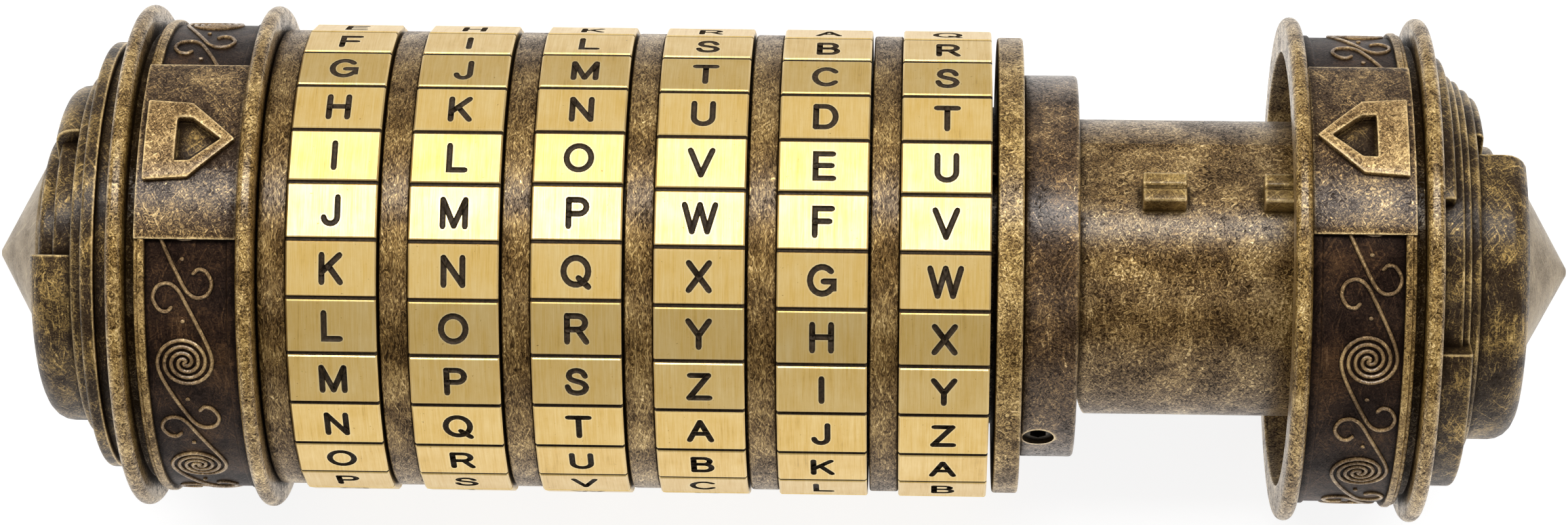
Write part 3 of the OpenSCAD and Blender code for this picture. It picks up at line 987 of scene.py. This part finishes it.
def make_tube():
    """Tube with its lugs, cut to a trough at the left. The upper half of the casting is flatter
    and ends in a seam under the lugs."""
    bore, edge = TUBE_R - 1.6, 0.2
    outline = rounded([(TUBE_LEFT, 0, 0), (TUBE_LEFT, TUBE_R, edge), (TUBE_RIGHT, TUBE_R, edge),
                       (TUBE_RIGHT, 2, 0), (TUBE_RIGHT - 3.5, 2, 0), (TUBE_RIGHT - 3.5, bore, 0.4),
                       (TUBE_LEFT + 1.6, bore, 0.4), (TUBE_LEFT + 1.6, 0, 0)], 0.1, 3)
    round_tube = lathe(outline, step=1)
    tube = make_mesh("chamber_tube_look", [(flattened(round_tube, -28, 28), tube_metal)], 8)
    drop = -TUBE_R - 2
    section = [(TUBE_LEFT - 2, TROUGH_Z), (COLLAR_RIGHT, TROUGH_Z), (COLLAR_RIGHT + 2.6, drop),
               (TUBE_LEFT - 2, drop)]
    vertices = [(x, y, AXIS_Z + z) for y in (-TUBE_R - 1, TUBE_R + 1) for x, z in section]
    faces = [(0, 1, 2, 3), (7, 6, 5, 4), (0, 4, 5, 1), (1, 5, 6, 2), (2, 6, 7, 3), (3, 7, 4, 0)]
    carve(tube, make_mesh("trough", [((vertices, faces), tube_metal)]), 8)
    lugs = make_mesh("lugs", [(joined([lug_part(FIRST_LUG_X - i * DIAL_PITCH) for i in range(7)]),
                               lug_metal)])
    soften(lugs, 0.55)
    with_lugs = merge(tube, lugs)
    stand_for(with_lugs, "chamber", "aged_bronze", "chamber_tube")


def lug_part(x):
    """Lug of two ridges with a crease between them."""
    low, ridge, crease = TUBE_R - 0.6, LUG_TOP_R, LUG_TOP_R - 0.35
    section = [(-LUG_HALF, low), (-LUG_HALF, ridge), (-0.25, ridge), (0, crease), (0.25, ridge),
               (LUG_HALF, ridge), (LUG_HALF, low)]
    vertices = [(end, -s, AXIS_Z + r) for end in (x, x + LUG_LEN) for s, r in section]
    n = len(section)
    faces = [tuple(reversed(range(n))), tuple(range(n, 2 * n))]
    faces += [(k, (k + 1) % n, n + (k + 1) % n, n + k) for k in range(n)]
    return vertices, faces


def merge(first, second):
    """Joins the second object's mesh into the first, with its material as the next one."""
    slots = len(first.data.materials)
    first.data.materials.append(second.data.materials[0])
    for face in second.data.polygons:
        face.material_index = slots
    work = bmesh.new()
    work.from_mesh(first.data)
    work.from_mesh(second.data)
    work.to_mesh(first.data)
    work.free()
    bpy.data.objects.remove(second)
    return first


# ---------------------------------------------------------------- stage, lights and camera


FLOOR_HALF = 3000


def pale_floor():
    """Plain matt sheet that the cryptex lies on. It glows a little, so that shadows stay pale."""
    n = Nodes("pale_floor")
    cloud = n.noise(60, 3, 0.5)
    n.feed(n.shader.inputs["Base Color"],
           n.colours(cloud, (0.2, (0.20, 0.20, 0.20)), (0.8, (0.24, 0.24, 0.24))))
    n.shader.inputs["Roughness"].default_value = 0.6
    n.shader.inputs["Specular IOR Level"].default_value = 0.2
    n.shader.inputs["Emission Color"].default_value = (1, 1, 1, 1)
    n.shader.inputs["Emission Strength"].default_value = 0.85
    n.relief(n.noise(1.5), 0.01)
    half = FLOOR_HALF
    floor = make_mesh("floor", [(([(-half, -half, 0), (half, -half, 0), (half, half, 0),
                                   (-half, half, 0)], [(0, 1, 2, 3)]), n.material)])


def softbox(name, place, aim, size, power):
    """Flat white light, with its place and size in millimetres and its power in watts."""
    light = bpy.data.lights.new(name, "AREA")
    light.shape = "RECTANGLE"
    light.size, light.size_y = size[0] * MM, size[1] * MM
    light.energy = power
    obj = bpy.data.objects.new(name, light)
    obj.location = Vector(place) * MM
    obj.rotation_euler = (Vector(aim) - Vector(place)).to_track_quat("-Z", "Y").to_euler()
    bpy.context.collection.objects.link(obj)


def light_scene():
    """An even room, a long softbox overhead with a hot middle, and weaker ones round it."""
    world = bpy.data.worlds.new("studio")
    world.use_nodes = True
    background = world.node_tree.nodes["Background"]
    background.inputs["Color"].default_value = (1, 1, 1, 1)
    background.inputs["Strength"].default_value = 0.38
    bpy.context.scene.world = world
    middle = (0, 0, AXIS_Z)
    softbox("overhead", (0, 150, 728), middle, (1300, 500), 1.7)
    softbox("lamp", (0, 50, 745), middle, (1300, 190), 8.6)
    softbox("back", (0, 640, 440), middle, (1300, 500), 1.1)
    softbox("front", (0, -620, 620), middle, (1300, 300), 0.85)
    softbox("left", (-700, -60, 240), middle, (300, 400), 0.45)
    softbox("right", (700, -60, 300), middle, (300, 400), 0.45)
    bpy.context.scene.view_settings.view_transform = "Standard"


CAMERA_DISTANCE = 450                      # from the axis
CAMERA_ELEVATION = 62.5                    # over the horizon, in degrees
CAMERA_X = 13.75                           # place of the camera along the axis
AIM_X = 0.37                               # place on the axis that it looks at
ROLL = 0.725                               # tilt of the picture, in degrees
SENSOR_WIDTH = 36
FOCAL_LENGTH = 107.76


def place_camera():
    """Camera in front of the cryptex and above it, as in the photograph."""
    elevation = math.radians(CAMERA_ELEVATION)
    out = Vector((0, -math.cos(elevation), math.sin(elevation)))
    place = Vector((CAMERA_X, 0, AXIS_Z)) + out * CAMERA_DISTANCE
    forward = (Vector((AIM_X, 0, AXIS_Z)) - place).normalized()
    right = (Vector((1, 0, 0)) - forward * forward.x).normalized()
    up = right.cross(forward)
    turn = Matrix((right, up, -forward)).transposed().to_4x4()
    camera = bpy.data.cameras.new("camera")
    camera.sensor_width = SENSOR_WIDTH
    camera.lens = FOCAL_LENGTH
    camera.clip_start, camera.clip_end = 0.01, 20
    obj = bpy.data.objects.new("camera", camera)
    obj.matrix_world = (Matrix.Translation(place * MM) @ turn
                        @ Matrix.Rotation(math.radians(ROLL), 4, "Z"))
    bpy.context.collection.objects.link(obj)
    bpy.context.scene.camera = obj


# ---------------------------------------------------------------- build

place_camera()
light_scene()
pale_floor()
make_cap("fixed_cap", -1, "case", SLEEVE_R)
make_cap("sliding_cap", 1, "chamber", TUBE_R)
make_band("fixed_band", -1, "case", 0)
make_band("sliding_band", 1, "chamber", CAP_TWIST)
make_rosette("fixed_rosette", -1, "case", FIXED_STEPS, 0)
make_rosette("sliding_rosette", 1, "chamber", SLIDING_STEPS, CAP_TWIST)
make_finial("fixed_finial", -1, "case")
make_finial("sliding_finial", 1, "chamber")
make_dials()
make_collar()
make_tube()
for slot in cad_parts["guide_sleeve"].material_slots:
    slot.material = tube_metal
